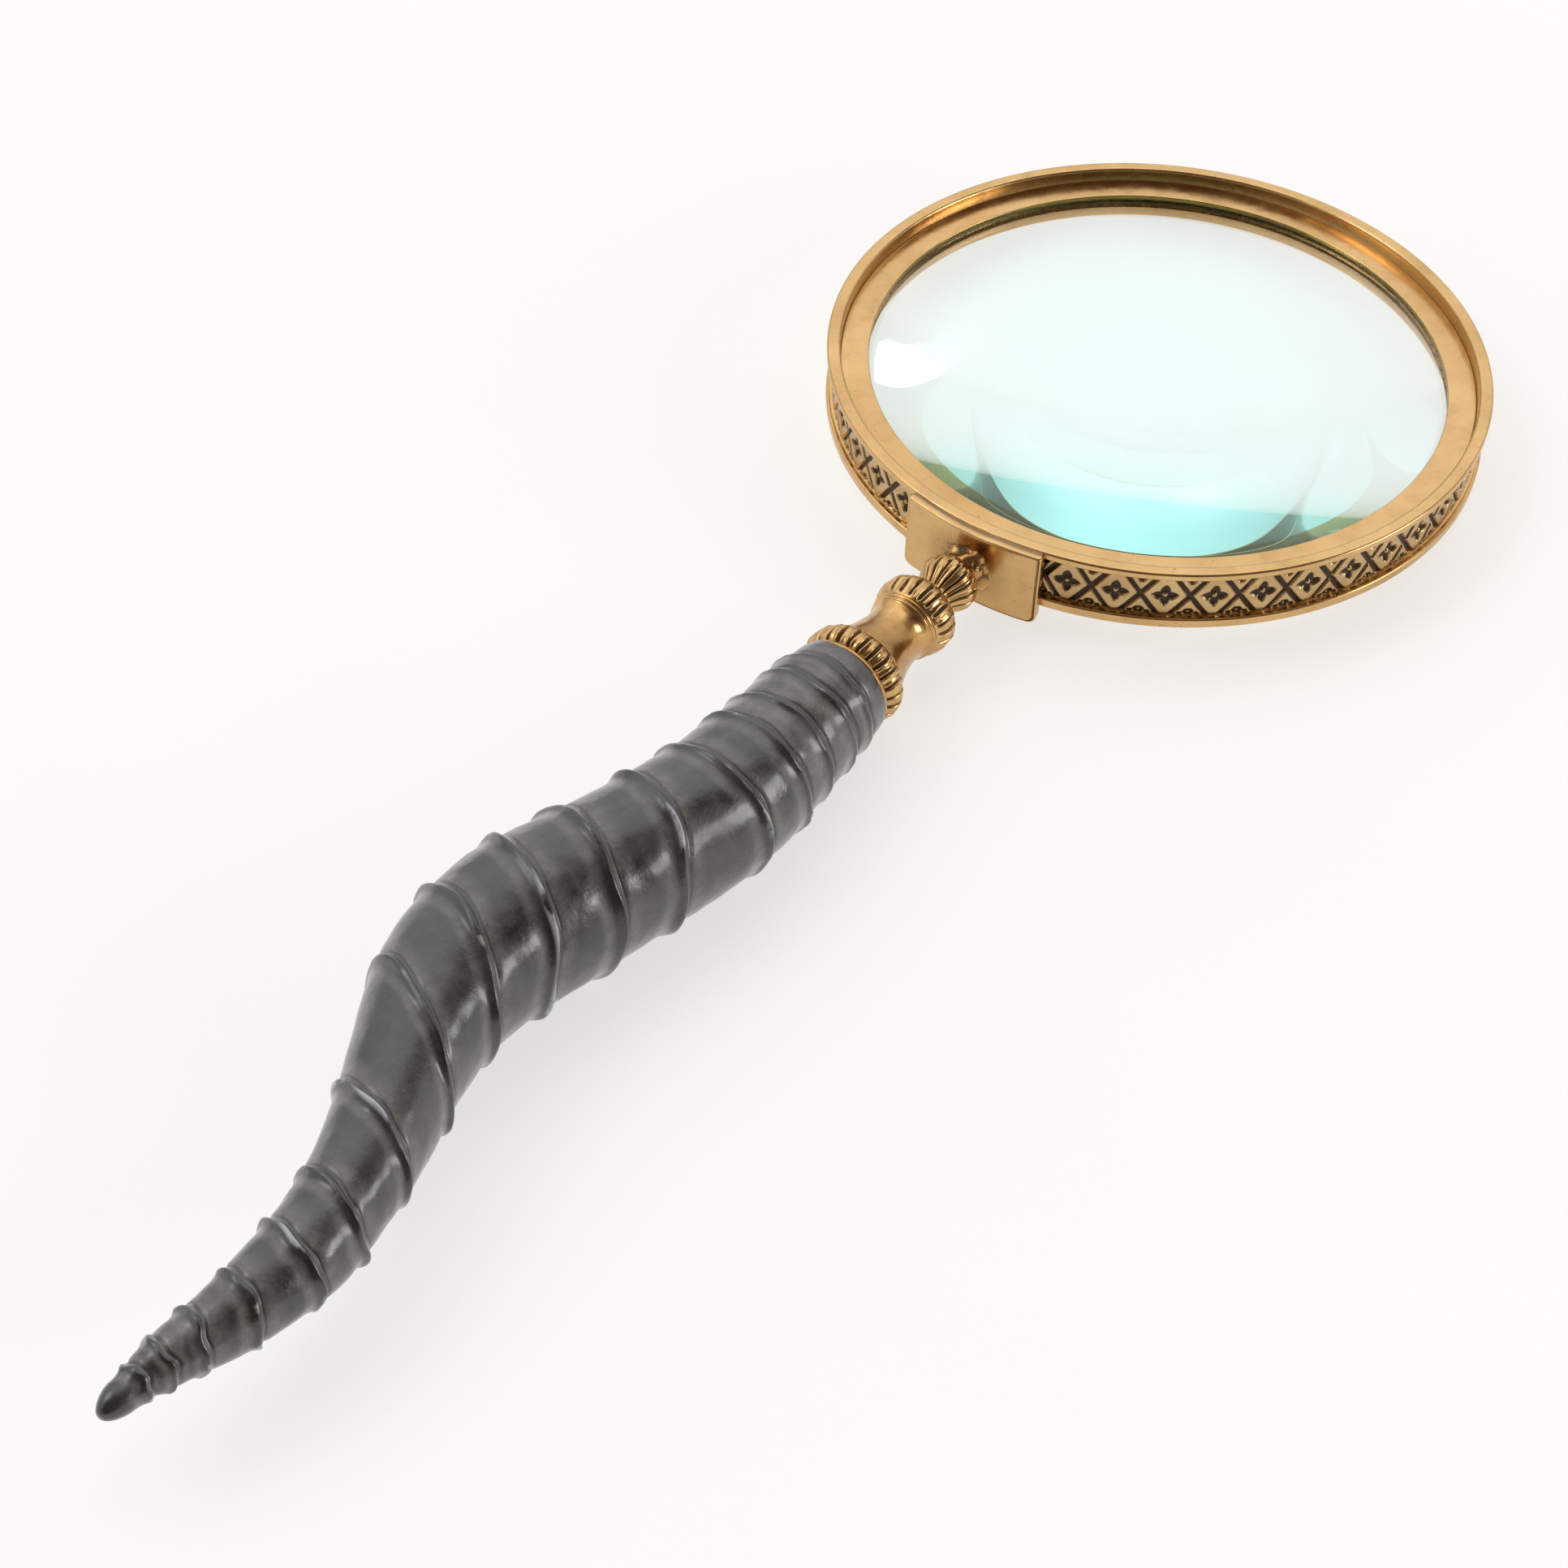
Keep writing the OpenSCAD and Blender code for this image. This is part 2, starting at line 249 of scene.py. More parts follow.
# -------------------------------------------------------------------------------------------------- materials
class Nodes:
    """A short way to write a material's nodes."""

    def __init__(self, name):
        self.material = bpy.data.materials.new(name)
        self.material.use_nodes = True
        self.tree = self.material.node_tree
        self.tree.nodes.clear()
        self.output = self.add("ShaderNodeOutputMaterial")
        self.position = self.add("ShaderNodeTexCoord").outputs["Object"]

    def add(self, kind, inputs=None, **settings):
        node = self.tree.nodes.new(kind)
        for key, value in settings.items():
            setattr(node, key, value)
        for key, value in (inputs or {}).items():
            self.put(node.inputs[key], value)
        return node

    def put(self, socket, value):
        if isinstance(value, bpy.types.NodeSocket):
            self.tree.links.new(value, socket)
        else:
            socket.default_value = value

    def noise(self, scale, detail=4.0, roughness=0.55, stretch=(1, 1, 1)):
        """Noise in the object's own space; scale is in features per metre."""
        mapping = self.add("ShaderNodeMapping", {"Vector": self.position, "Scale": stretch})
        return self.add("ShaderNodeTexNoise", {"Vector": mapping.outputs[0], "Scale": scale, "Detail": detail,
                                               "Roughness": roughness}).outputs["Fac"]

    def ramp(self, value, low, high, out_low=0.0, out_high=1.0):
        return self.add("ShaderNodeMapRange", {"Value": value, "From Min": low, "From Max": high,
                                               "To Min": out_low, "To Max": out_high}).outputs["Result"]

    def math(self, operation, a, b=0.5):
        return self.add("ShaderNodeMath", {0: a, 1: b}, operation=operation).outputs[0]

    def mix(self, factor, a, b, blend="MIX"):
        node = self.add("ShaderNodeMix", data_type="RGBA", blend_type=blend)
        self.put(node.inputs[0], factor)
        self.put(node.inputs[6], a)
        self.put(node.inputs[7], b)
        return node.outputs[2]

    def bump(self, height, strength, distance, normal=None):
        inputs = {"Height": height, "Strength": strength, "Distance": distance}
        if normal is not None:
            inputs["Normal"] = normal
        return self.add("ShaderNodeBump", inputs).outputs["Normal"]

    def cavity(self):
        return self.add("ShaderNodeAttribute", attribute_name="cavity").outputs["Fac"]

    def finish(self, **inputs):
        named = {key.replace("_", " "): value for key, value in inputs.items()}
        shader = self.add("ShaderNodeBsdfPrincipled", named)
        self.tree.links.new(shader.outputs[0], self.output.inputs["Surface"])
        return self.material


def brass(name, base, aged, rough, rough_spread=0.06, grooves=0.0, wave=0.4, patches=0.45):
    """Aged brass: slow colour drift, brown patches, dark specks, fine scratches, and, where asked, brown tarnish
    and black in the grooves, following the cavity values; on pieces that set those values where shade falls, this
    is painted shade."""
    n = Nodes(name)
    drift = n.ramp(n.noise(70, 5), 0.35, 0.7)
    colour = n.mix(drift, (*base, 1), (*aged, 1))
    blotch = n.ramp(n.noise(230, 7, 0.7), 0.50, 0.72)
    colour = n.mix(n.math("MULTIPLY", blotch, patches), colour, (0.30, 0.165, 0.06, 1))
    specks = n.ramp(n.noise(1500, 2), 0.69, 0.76)
    colour = n.mix(n.math("MULTIPLY", specks, 0.6), colour, (0.14, 0.08, 0.035, 1))
    roughness = n.ramp(n.noise(320, 5), 0.3, 0.7, rough - rough_spread, rough + rough_spread)
    metallic = 1.0
    if grooves:
        # Painted shade as well as soot and tarnish: this darkening follows the cavity values, which some pieces set
        # where shade falls.
        soot_and_shade = n.math("ADD", n.cavity(), n.ramp(n.noise(900, 3), 0.3, 0.7, -0.22, 0.22))
        soot_and_shade = n.ramp(soot_and_shade, 0.45, 0.85)
        tarnish_and_shade = n.ramp(n.cavity(), 0.05, 0.55)
        colour = n.mix(n.math("MULTIPLY", tarnish_and_shade, 0.7), colour, (0.24, 0.13, 0.045, 1))
        colour = n.mix(n.math("MULTIPLY", soot_and_shade, grooves), colour, (0.030, 0.018, 0.010, 1))
        roughness = n.add("ShaderNodeMix", {0: soot_and_shade, 2: roughness, 3: 0.55}).outputs[0]
        metallic = n.ramp(soot_and_shade, 0, 1, 1.0, 0.35)
    scratches = n.noise(2600, 3, 0.6, stretch=(1, 1, 0.25))
    normal = n.bump(n.noise(150, 2), wave, 0.0006)
    normal = n.bump(scratches, 0.10, 0.00006, normal)
    return n.finish(Base_Color=colour, Metallic=metallic, Roughness=roughness, Normal=normal)


def horn_resin(name):
    """Black resin cast in a horn mould: glossy, with brown-grey dust along the grooves, pale worn crests, and
    painted shade that darkens the fine groove at each ridge's foot.
    """
    n = Nodes(name)
    cavity = n.cavity()
    cloud = n.ramp(n.noise(55, 6, 0.6), 0.35, 0.7)
    colour = n.mix(cloud, (0.009, 0.0095, 0.011, 1), (0.018, 0.018, 0.019, 1))
    patchy = n.ramp(n.noise(420, 6, 0.75), 0.34, 0.62, 0.25, 1.0)
    dust = n.math("MULTIPLY", n.ramp(cavity, 0.18, 0.85), patchy)
    colour = n.mix(n.math("MULTIPLY", dust, 0.85), colour, (0.230, 0.212, 0.200, 1))
    crest = n.ramp(cavity, -0.10, -0.45)
    haze = n.ramp(n.noise(120, 8, 0.75), 0.44, 0.66)
    haze = n.math("MULTIPLY", haze, n.math("SUBTRACT", 1.0, crest))
    colour = n.mix(n.math("MULTIPLY", haze, 0.36), colour, (0.130, 0.131, 0.137, 1))
    worn = n.math("MULTIPLY", crest, n.ramp(n.noise(85, 4), 0.54, 0.58))
    colour = n.mix(n.math("MULTIPLY", worn, 0.8), colour, (0.52, 0.54, 0.58, 1))
    # Painted shade: the highest cavity values paint the groove at each ridge's foot near black.
    groove = n.ramp(cavity, 0.95, 1.35)
    colour = n.mix(n.math("MULTIPLY", groove, 0.8), colour, (0.010, 0.009, 0.009, 1))
    pits = n.ramp(n.noise(1900, 2), 0.71, 0.76)
    colour = n.mix(n.math("MULTIPLY", pits, 0.5), colour, (0.25, 0.23, 0.21, 1))
    roughness = n.ramp(n.noise(230, 6, 0.65), 0.32, 0.68, 0.18, 0.40)
    roughness = n.math("ADD", roughness, n.math("MULTIPLY", n.math("MAXIMUM", dust, haze), 0.22))
    grain = n.noise(1500, 4, 0.6, stretch=(1, 0.5, 0.5))
    normal = n.bump(n.noise(300, 4), 0.5, 0.0004)
    normal = n.bump(grain, 0.5, 0.00013, normal)
    return n.finish(Base_Color=colour, Roughness=roughness, Normal=normal, IOR=1.55, Coat_Weight=0.8,
                    Coat_Roughness=0.20)


def lens_glass(name):
    """Clear glass with a faint aqua tint that deepens with the light's path, and faint smears on its faces."""
    n = Nodes(name)
    smear = n.ramp(n.noise(60, 5, 0.6), 0.45, 0.8, 0.0, 0.02)
    glass = n.add("ShaderNodeBsdfPrincipled", {"Base Color": (1, 1, 1, 1), "Roughness": smear, "IOR": 1.52,
                                               "Transmission Weight": 1.0})
    clear = n.add("ShaderNodeBsdfTransparent", {"Color": (0.93, 1.0, 0.985, 1)})
    is_shadow = n.add("ShaderNodeLightPath").outputs["Is Shadow Ray"]
    mixed = n.add("ShaderNodeMixShader", {0: is_shadow, 1: glass.outputs[0], 2: clear.outputs[0]})
    tint = n.add("ShaderNodeVolumeAbsorption", {"Color": (0.08, 0.965, 0.90, 1), "Density": 8.5})
    n.tree.links.new(mixed.outputs[0], n.output.inputs["Surface"])
    n.tree.links.new(tint.outputs[0], n.output.inputs["Volume"])
    return n.material


def rod_steel(name):
    n = Nodes(name)
    shade = n.mix(n.ramp(n.noise(500, 4), 0.3, 0.7), (0.50, 0.51, 0.53, 1), (0.38, 0.38, 0.40, 1))
    turns = n.add("ShaderNodeTexWave", {"Vector": n.position, "Scale": 450.0}, bands_direction="X")
    normal = n.bump(turns.outputs["Fac"], 0.6, 0.0003)
    return n.finish(Base_Color=shade, Metallic=1.0, Roughness=n.ramp(n.noise(900), 0, 1, 0.25, 0.45), Normal=normal)


def table_white(name):
    """A white table top lit from below, which keeps the shadows on it faint."""
    n = Nodes(name)
    shade = n.mix(n.ramp(n.noise(9, 3), 0.3, 0.7), (0.43, 0.425, 0.42, 1), (0.415, 0.41, 0.402, 1))
    specks = n.ramp(n.noise(330, 2), 0.735, 0.76)
    shade = n.mix(n.math("MULTIPLY", specks, 0.10), shade, (0.30, 0.29, 0.27, 1))
    return n.finish(Base_Color=shade, Roughness=0.7, Specular_IOR_Level=0.2, Emission_Color=(1.0, 0.992, 0.98, 1),
                    Emission_Strength=0.65)


SATIN = brass("satin_brass", (0.70, 0.455, 0.205), (0.56, 0.345, 0.14), 0.25, grooves=0.75, wave=0.25, patches=0.25)
POLISHED = brass("polished_brass", (0.68, 0.41, 0.165), (0.44, 0.24, 0.085), 0.20, grooves=0.7, patches=0.65)
FLUTED = brass("fluted_brass", (0.68, 0.435, 0.19), (0.50, 0.30, 0.115), 0.18, grooves=0.8)
STRIP = brass("blackened_brass", (0.62, 0.43, 0.215), (0.42, 0.275, 0.12), 0.27, grooves=0.92)
TURNED = brass("plain_brass", (0.74, 0.52, 0.25), (0.66, 0.44, 0.19), 0.35)
HORN_RESIN = horn_resin("dark_horn")
GLASS = lens_glass("lens_glass")
STEEL = rod_steel("rod_steel")


# ------------------------------------------------------------------------------------------------- the ring
def bezel():
    """The ring: an inner ledge for the glass, a channel for the strip, a raised lip and a plain lower rim."""
    lens_low = LENS_MID_Z - LENS_EDGE_T / 2
    lens_top = LENS_MID_Z + LENS_EDGE_T / 2
    outline = rounded_outline([
        (APERTURE_R, 0, 0.5), (LOWER_RIM_R, 0, 0.55), (LOWER_RIM_R, LOWER_RIM_H, 0.4),
        (CHANNEL_R, LOWER_RIM_H - 0.1, 0), (CHANNEL_R, UPPER_RIM_Z + 0.05, 0), (RING_R, UPPER_RIM_Z, 0.3),
        (RING_R, RING_H, 0.45), (LIP_INNER_R, RING_H, 0.5), (LIP_INNER_R, lens_top, 0),
        (LENS_R + 0.2, lens_top, 0), (LENS_R + 0.2, lens_low - 0.4, 0), (APERTURE_R, lens_low - 0.4, 0.1),
    ])
    grid = ring_points(outline, 360)
    radius, height = np.array(outline)[:, 0, None], np.array(outline)[:, 1, None]
    # Painted shade: the seat round the glass's edge and the aperture's inner wall get darker brass, as if in shade;
    # the joint at the lip's foot is a dark line.
    shaded_seat = (radius < LIP_INNER_R + 0.1) & (height > lens_low - 0.5) & (height <= lens_top + 0.01)
    joint = 0.6 * smooth_step(LAND_Z + 0.5 - height, 0, 0.5) * (np.abs(radius - LIP_INNER_R) < 0.1)
    wall = (radius < APERTURE_R + 0.1) & (height > 0.6)
    cavity = np.maximum(np.where(shaded_seat | wall, 0.42, 0.0), joint) + 0 * grid[..., 0]
    grid[..., 2] += wobble(grid, 22, 0.05, 1) * smooth_step(grid[..., 2], 0.5, 2)
    closed_piece("bezel_ring_detail", grid, SATIN, "bezel_ring", cavity)


def retaining_ring():
    """The flat land that holds the glass down, with a fine joint line at the foot of the lip."""
    lens_top = LENS_MID_Z + LENS_EDGE_T / 2
    outer_r = LIP_INNER_R - 0.06
    outline = rounded_outline([
        (APERTURE_R, LAND_Z - 0.85, 0.1), (LENS_R + 0.2, LAND_Z - 0.85, 0), (LENS_R + 0.2, lens_top + 0.02, 0),
        (outer_r, lens_top + 0.02, 0), (outer_r, LAND_Z, 0.2), (APERTURE_R, LAND_Z, 0.2),
    ])
    grid = ring_points(outline, 360)
    # Painted shade: the underside that lies on the glass gets darker brass.
    hidden = np.array(outline)[:, 1, None] < LAND_Z - 0.6
    cavity = np.where(hidden, 0.55, 0.0) + 0 * grid[..., 0]
    grid[..., 2] += wobble(grid, 18, 0.05, 2)
    closed_piece("retaining_ring_detail", grid, SATIN, "retaining_ring", cavity)


def strip_depth(x, y, width, height):
    """How deep the strip's relief is at x, y millimetres from the middle of a lozenge, from 0 to 1."""
    ax, ay = np.abs(x), np.abs(y)
    soft = 0.22

    # The crossing grooves: from the middle of the tile's side to near the middle of its top and bottom
    tip_x = 1.05
    run_x, run_y = tip_x - width / 2, height / 2
    off_line = np.abs(run_x * ay - run_y * (ax - width / 2)) / math.hypot(run_x, run_y)
    depth = smooth_step(0.50 - off_line, 0, soft)

    # Four petals round a raised boss
    along, across = np.maximum(ax, ay), np.minimum(ax, ay)
    petal_half = 0.80 * np.sin(np.clip((along - 0.15) / 2.0, 0, 1) ** 0.75 * math.pi) ** 0.7
    depth = np.maximum(depth, smooth_step(petal_half - across, -0.02, soft))
    centre = np.hypot(x, y)
    depth = np.maximum(depth, smooth_step(0.80 - centre, 0, soft))
    depth = depth * (1 - 0.85 * smooth_step(0.52 - centre, 0, soft))

    # Three scallops in each half lozenge at the strip's edges, the middle one with its own boss
    side = width / 2 - ax
    edge = height / 2 - ay
    middle = np.hypot(side, edge - 0.65)
    scallop = smooth_step(0.86 - middle, 0, soft) * (1 - 0.7 * smooth_step(0.36 - middle, 0, soft))
    small = np.hypot(side - 1.38, edge - 0.35)
    scallop = np.maximum(scallop, smooth_step(0.48 - small, 0, soft))
    depth = np.maximum(depth, scallop)
    return np.maximum(depth, smooth_step(0.16 - edge, 0, 0.14))


def gallery_strip():
    """The pressed strip: a row of lozenges with four-petal flowers, its ends hidden by the saddle plate."""
    across, up = 44, 48
    width = TAU * STRIP_R / TILES
    height = UPPER_RIM_Z - LOWER_RIM_H
    columns = (TILES - 1) * across + 1
    angle = math.pi + TAU / TILES * (0.5 + np.arange(columns) / across)
    rise = np.linspace(-height / 2, height / 2, up + 1)
    tile_x = ((np.arange(columns) / across) % 1 - 0.5) * width
    x, y = np.meshgrid(tile_x, rise)
    depth = strip_depth(x, y, width, height)
    radius = STRIP_R - STRIP_DEPTH * depth
    z = np.broadcast_to((rise + LOWER_RIM_H + height / 2)[:, None], radius.shape)
    front = np.stack([radius * np.cos(angle), radius * np.sin(angle), z], -1)
    front[..., :2] *= 1 + wobble(front, 6, 0.0006, 3)[..., None]
    back_r = CHANNEL_R + 0.01
    back = [np.stack([back_r * np.cos(angle), back_r * np.sin(angle), 0 * angle + level], -1)
            for level in (UPPER_RIM_Z, LOWER_RIM_H)]
    grid = np.vstack([front, np.array(back)])
    cavity = np.vstack([depth, np.ones((2, columns))])
    rows = grid.shape[0]
    faces = grid_faces(rows, columns, close_rows=True, close_columns=False)
    faces.append([row * columns for row in range(rows)])
    faces.append([row * columns + columns - 1 for row in range(rows)])
    make_piece("gallery_strip_detail", grid.reshape(-1, 3), faces, STRIP, "gallery_strip",
               cavity)


def lens():
    """A biconvex lens with a ground edge."""
    steps, segments = 40, 256
    radii = np.append(np.linspace(0, 1, steps + 1)[1:] ** 0.8 * (LENS_R - 0.15), LENS_R)
    sag = np.sqrt(LENS_CURVE_R ** 2 - radii ** 2) - math.sqrt(LENS_CURVE_R ** 2 - LENS_R ** 2)
    half = LENS_EDGE_T / 2 + sag
    half[-1] = LENS_EDGE_T / 2 - 0.15
    outline = [(r, LENS_MID_Z + h) for r, h in zip(radii, half)]
    outline += [(r, LENS_MID_Z - h) for r, h in zip(radii[::-1], half[::-1])]
    grid = ring_points(outline, segments)
    rows = grid.shape[0]
    crown = LENS_EDGE_T / 2 + LENS_CURVE_R - math.sqrt(LENS_CURVE_R ** 2 - LENS_R ** 2)
    points = np.vstack([grid.reshape(-1, 3), [[0, 0, LENS_MID_Z + crown], [0, 0, LENS_MID_Z - crown]]])
    faces = grid_faces(rows, segments)
    top, bottom, last = rows * segments, rows * segments + 1, (rows - 1) * segments
    for k in range(segments):
        after = (k + 1) % segments
        faces.append([top, k, after])
        faces.append([bottom, last + after, last + k])
    make_piece("lens_detail", points, faces, GLASS, "lens")


def saddle_plate():
    """The curved plate over the side of the ring, with rounded lower corners and softened edges."""
    low = RING_H - PLATE_H
    outline = rounded_outline([
        (-PLATE_W / 2, low, 1.3), (PLATE_W / 2, low, 1.3), (PLATE_W / 2, RING_H, 0.5), (-PLATE_W / 2, RING_H, 0.5),
    ], steps=10, hold=0.3)
    dense = []
    for (x1, y1), (x2, y2) in zip(outline, outline[1:] + outline[:1]):
        pieces = max(1, round(math.hypot(x2 - x1, y2 - y1) / 0.5))
        dense += [(x1 + (x2 - x1) * k / pieces, y1 + (y2 - y1) * k / pieces) for k in range(pieces)]
    edge = np.array(dense)
    centre = np.array([0, (low + RING_H) / 2])
    bevel = 0.3
    inward = edge - centre
    inset = inward / np.maximum(np.linalg.norm(inward, axis=1, keepdims=True), 1e-6)

    def loop(step_in, scale, radius):
        """One loop of the plate: moved in from the edge, or shrunk towards the middle line."""
        flat = (edge - inset * step_in - centre) * scale + centre
        angle = math.pi + flat[:, 0] / PLATE_OUT_R
        return np.stack([radius * np.cos(angle), radius * np.sin(angle), flat[:, 1]], -1)

    scales = np.linspace(1, 0.03, 22)
    front = [loop(bevel * (1 - math.cos(a)), 1, PLATE_OUT_R - bevel * (1 - math.sin(a)))
             for a in np.linspace(0, math.pi / 2, 6)]
    front += [loop(bevel + 0.05 * (scale < 1), scale, PLATE_OUT_R) for scale in scales]
    back = [loop(0, scale, PLATE_IN_R) for scale in scales[::-1]]
    grid = np.array(back + front)
    grid[..., :2] *= 1 + wobble(grid, 7, 0.0020, 4)[..., None]
    grid[..., 2] += wobble(grid, 5, 0.25, 13)
    # Painted shade: the plate gets darker brass round the neck's foot, where the neck meets it.
    from_foot = np.hypot(grid[..., 1], grid[..., 2] - NECK_Z)
    cavity = 0.34 * (1 - smooth_step(from_foot, 4.4, 9.5)) + 0.10 * (1 - smooth_step(from_foot, 4.4, 5.4))
    rows, columns = grid.shape[:2]
    faces = grid_faces(rows, columns)
    faces.append(list(range(columns)))
    faces.append([(rows - 1) * columns + k for k in range(columns)])
    make_piece("saddle_plate_detail", grid.reshape(-1, 3), faces, SATIN, "saddle_plate", cavity)


# ------------------------------------------------------------------------------------------------- the neck
def groove_depth(angle, count, width, sharp):
    """How deep a row of count grooves round the neck is at each angle, from 0 to 1. width is the share of the
    spacing that a groove takes."""
    phase = np.abs((angle * count / TAU) % 1 - 0.5) * 2
    return smooth_step(phase, 1 - width, 1 - width * sharp)


def fluted(outline, segments, count, deepest, width, start, end, fade):
    """A turned outline with flutes cut between two stations. Returns the points and their cavity values."""
    cavity = {}

    def shape(radius, station, angle):
        inside = smooth_step(station, start, start + fade) * (1 - smooth_step(station, end - fade, end))
        inside = inside * (radius > ROD_BORE_R + 0.3)
        groove = groove_depth(angle, count, width, 0.25)
        crown = 1 - (2 * np.abs((angle * count / TAU + 0.5) % 1 - 0.5)) ** 2
        cavity["values"] = inside * groove
        return radius - deepest * inside * groove + 0.25 * deepest * inside * (crown - 1)

    return neck_points(outline, segments, shape), cavity["values"]


def arc(centre_r, centre_s, radius, start, end, steps):
    """Points (radius, station) on an arc; angles in degrees, 0 away from the axis and 90 towards the handle."""
    return [(centre_r + radius * math.cos(math.radians(a)), centre_s + radius * math.sin(math.radians(a)))
            for a in np.linspace(start, end, steps)]


def bored(points):
    """Closes an outline along the neck's bore."""
    return points + [(ROD_BORE_R, points[-1][1]), (ROD_BORE_R, points[0][1])]


def neck_foot():
    """The lumpy cast stem between the plate and the small bead."""
    outer = [(4.6, PLATE_OUT_R - 0.5), (4.3, PLATE_OUT_R), (3.95, PLATE_OUT_R + 0.3), (3.7, PLATE_OUT_R + 0.7),
             (3.45, PLATE_OUT_R + 1.2), (3.3, BEAD_1 - 0.4), (3.15, BEAD_1 + 0.1), (2.8, BEAD_1 + 0.2)]
    points = catmull_rom([(s, r, 0) for r, s in outer], 40)
    outline = bored([(r, s) for s, r, _ in points])
    grid = neck_points(outline, 160)
    lumps = wobble(grid, 2.4, 1.0, 5) + 0.2 * wobble(grid, 0.9, 1.0, 12)
    lumps *= grid[..., 0] > -BEAD_1
    outward = grid - np.array([0, 0, NECK_Z])
    outward[..., 0] = 0
    outward /= np.linalg.norm(outward, axis=-1, keepdims=True)
    outer_face = np.linalg.norm(grid[..., 1:] - np.array([0, NECK_Z]), axis=-1) > ROD_BORE_R + 0.3
    grid += (0.8 * lumps * outer_face)[..., None] * outward
    closed_piece("neck_foot_detail", grid, POLISHED, "neck_foot", 0.30 - 0.8 * lumps)


def small_bead():
    """An acorn: a smooth dome towards the ring, and flutes that taper to the waist."""
    dome = arc(1.95, BEAD_1 + 2.85, 2.9, -84, 10, 18)
    taper = [(4.5, BEAD_1 + 4.3), (3.7, BEAD_1 + 5.6), (3.05, BEAD_1 + 6.8), (2.85, BEAD_2 + 0.1)]
    curve = catmull_rom([(s, r, 0) for r, s in dome + taper], 70)
    outline = bored([(r, s) for s, r, _ in curve])
    grid, cavity = fluted(outline, 18 * 16, 18, 0.50, 0.40, BEAD_1 + 1.5, BEAD_2 + 0.3, 1.2)
    grid += wobble(grid, 2.5, 0.12, 6)[..., None] * np.array([0, 1, 1])
    closed_piece("small_bead_detail", grid, FLUTED, "small_bead", cavity)


def large_bead():
    """A fluted bead that swells from the waist to the barrel's lip."""
    swell = [(2.9, BEAD_2 - 0.1), (3.2, BEAD_2 + 0.4), (4.6, BEAD_2 + 1.1), (5.8, BEAD_2 + 2.0),
             (6.45, BEAD_2 + 3.0), (6.7, BEAD_2 + 4.0), (6.6, BEAD_2 + 5.2), (6.25, BARREL - 0.7), (5.8, BARREL)]
    curve = catmull_rom([(s, r, 0) for r, s in swell], 80)
    outline = bored([(r, s) for s, r, _ in curve])
    grid, cavity = fluted(outline, 22 * 16, 22, 0.60, 0.42, BEAD_2 + 0.9, BARREL - 0.1, 0.9)
    grid += wobble(grid, 2.2, 0.22, 7)[..., None] * np.array([0, 1, 1])
    closed_piece("large_bead_detail", grid, FLUTED, "large_bead", cavity)


def neck_barrel():
    """A plain barrel with a hollow waist, two thin lips against the bead and a flare towards the collar."""
    lips = arc(5.5, BARREL + 0.36, 0.36, -90, 80, 9) + arc(5.4, BARREL + 1.06, 0.28, -80, 80, 8)
    body = [(5.35, BARREL + 1.5), (5.08, BARREL + 2.3), (5.0, BARREL + 3.3), (5.1, BARREL + 5.0),
            (5.5, BARREL + 7.0), (6.0, BARREL + 8.6), (6.9, COLLAR)]
    curve = catmull_rom([(s, r, 0) for r, s in body], 50)
    outline = bored(lips + [(r, s) for s, r, _ in curve])
    grid = neck_points(outline, 160)
    grid += wobble(grid, 6, 0.12, 8)[..., None] * np.array([0, 1, 1])
    closed_piece("neck_barrel_detail", grid, POLISHED, "neck_barrel")


def ribbed_collar():
    """The gadrooned collar: a round bead cut into lobes."""
    belly = arc(5.95, (COLLAR + FLANGE) / 2, 2.6, -73, 73, 40)
    outline = bored(belly)
    grid, cavity = fluted(outline, 26 * 16, 26, 0.65, 0.40, COLLAR - 0.7, FLANGE + 0.7, 0.8)
    grid += wobble(grid, 2.6, 0.24, 9)[..., None] * np.array([0, 1, 1])
    closed_piece("ribbed_collar_detail", grid, FLUTED, "ribbed_collar", cavity)


def end_flange():
    """The thin smooth ring between the collar and the handle."""
    outline = rounded_outline([
        (ROD_BORE_R, FLANGE, 0), (8.0, FLANGE, 0.25), (8.15, HORN_START - 0.15, 0.25), (8.0, HORN_START, 0.1),
        (ROD_BORE_R, HORN_START, 0),
    ], steps=4)
    grid = neck_points(outline, 160)
    closed_piece("end_flange_detail", grid, POLISHED, "end_flange")


